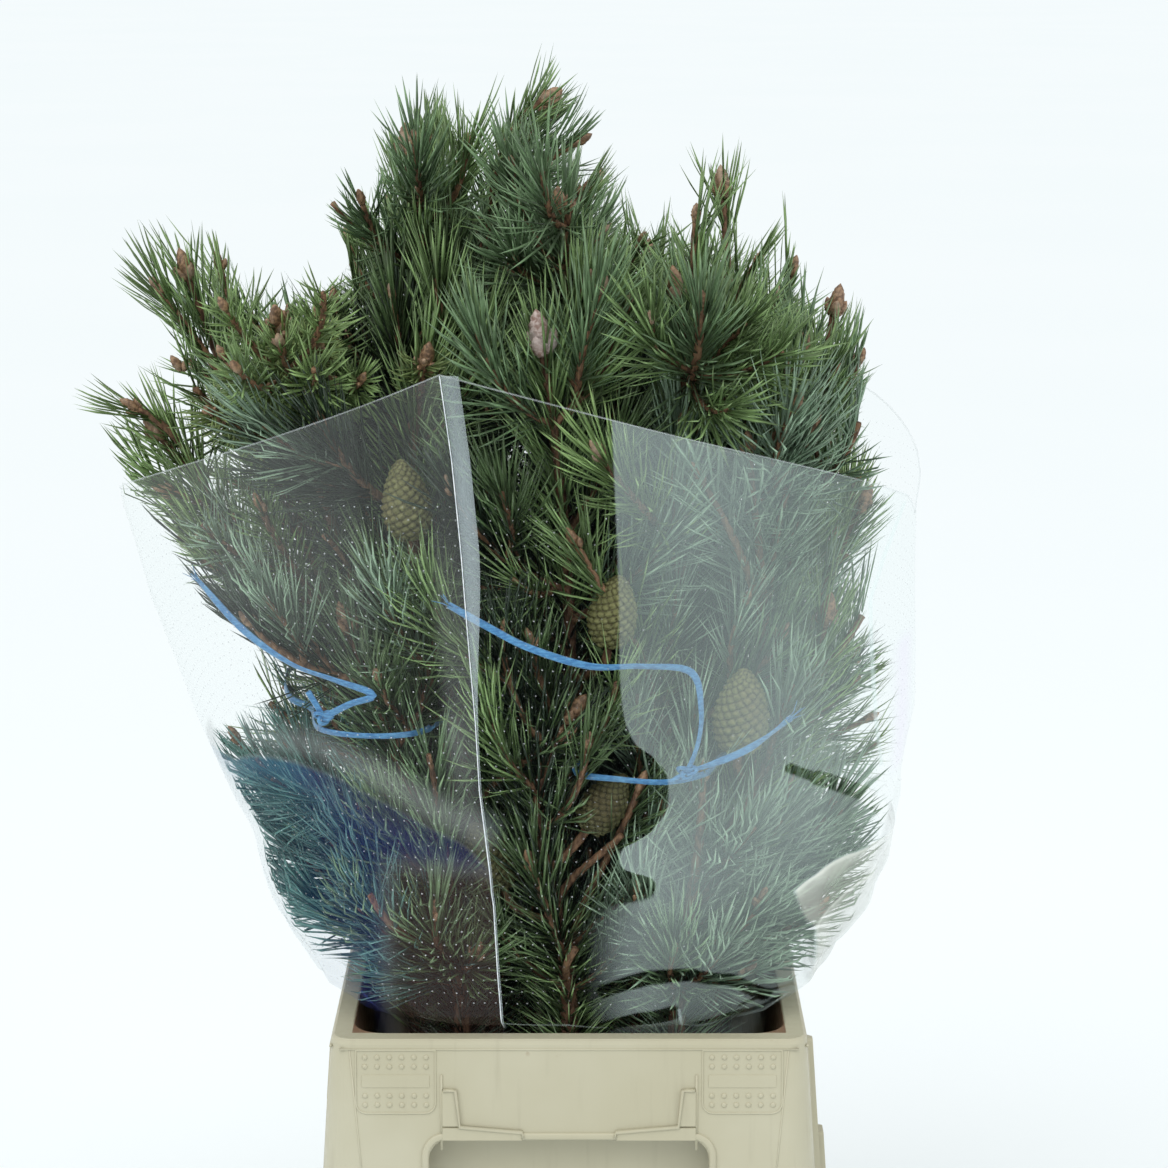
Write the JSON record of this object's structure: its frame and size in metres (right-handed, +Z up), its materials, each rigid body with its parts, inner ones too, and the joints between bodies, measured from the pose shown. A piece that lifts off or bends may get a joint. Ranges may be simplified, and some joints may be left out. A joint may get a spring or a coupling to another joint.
{
  "type": "bucket of cut mugo pine branches",
  "caption": "Cut mugo pine branches with cones, tied with blue twine in a clear film sleeve, standing in a rectangular cream plastic bucket.",
  "frame": {"origin": "centre of the bucket's flat underside, where it stands on the floor", "axes": "+Z up, +X to the right seen from the front, +Y away from the front"},
  "size_m": [0.5119, 0.4455, 0.9152],
  "materials": {
    "bucket": "moulded cream polypropylene, satin",
    "film": "clear perforated film, glossy",
    "twine": "fibrous polypropylene twine, satin",
    "bark": "rough grey-brown young bark",
    "needles": "blue-green needles, satin",
    "cone": "olive-brown closed scales, matt"
  },
  "bodies": {
    "root": {"bucket": "bucket", "sleeve": "film", "stem_01": "bark", "stem_02": "bark", "stem_03": "bark", "stem_04": "bark", "stem_05": "bark", "stem_06": "bark", "stem_07": "bark", "stem_08": "bark", "stem_09": "bark", "stem_10": "bark", "stem_11": "bark", "stem_12": "bark", "stem_13": "bark", "stem_14": "bark", "stem_15": "bark", "stem_16": "bark", "stem_17": "bark", "stem_18": "bark", "stem_19": "bark", "stem_20": "bark", "stem_21": "bark", "foliage_01": "needles", "foliage_02": "needles", "foliage_03": "needles", "foliage_04": "needles", "foliage_05": "needles", "foliage_06": "needles", "foliage_07": "needles", "foliage_08": "needles", "foliage_09": "needles", "foliage_10": "needles", "foliage_11": "needles", "foliage_12": "needles", "foliage_13": "needles", "foliage_14": "needles", "foliage_15": "needles", "foliage_16": "needles", "foliage_17": "needles", "foliage_18": "needles", "foliage_19": "needles", "foliage_20": "needles", "foliage_21": "needles", "cone_1": "cone", "cone_2": "cone", "cone_3": "cone", "cone_4": "cone", "cone_5": "cone", "cone_6": "cone", "cone_7": "cone", "twine_left": "twine", "twine_right": "twine"}
  },
  "joints": []
}
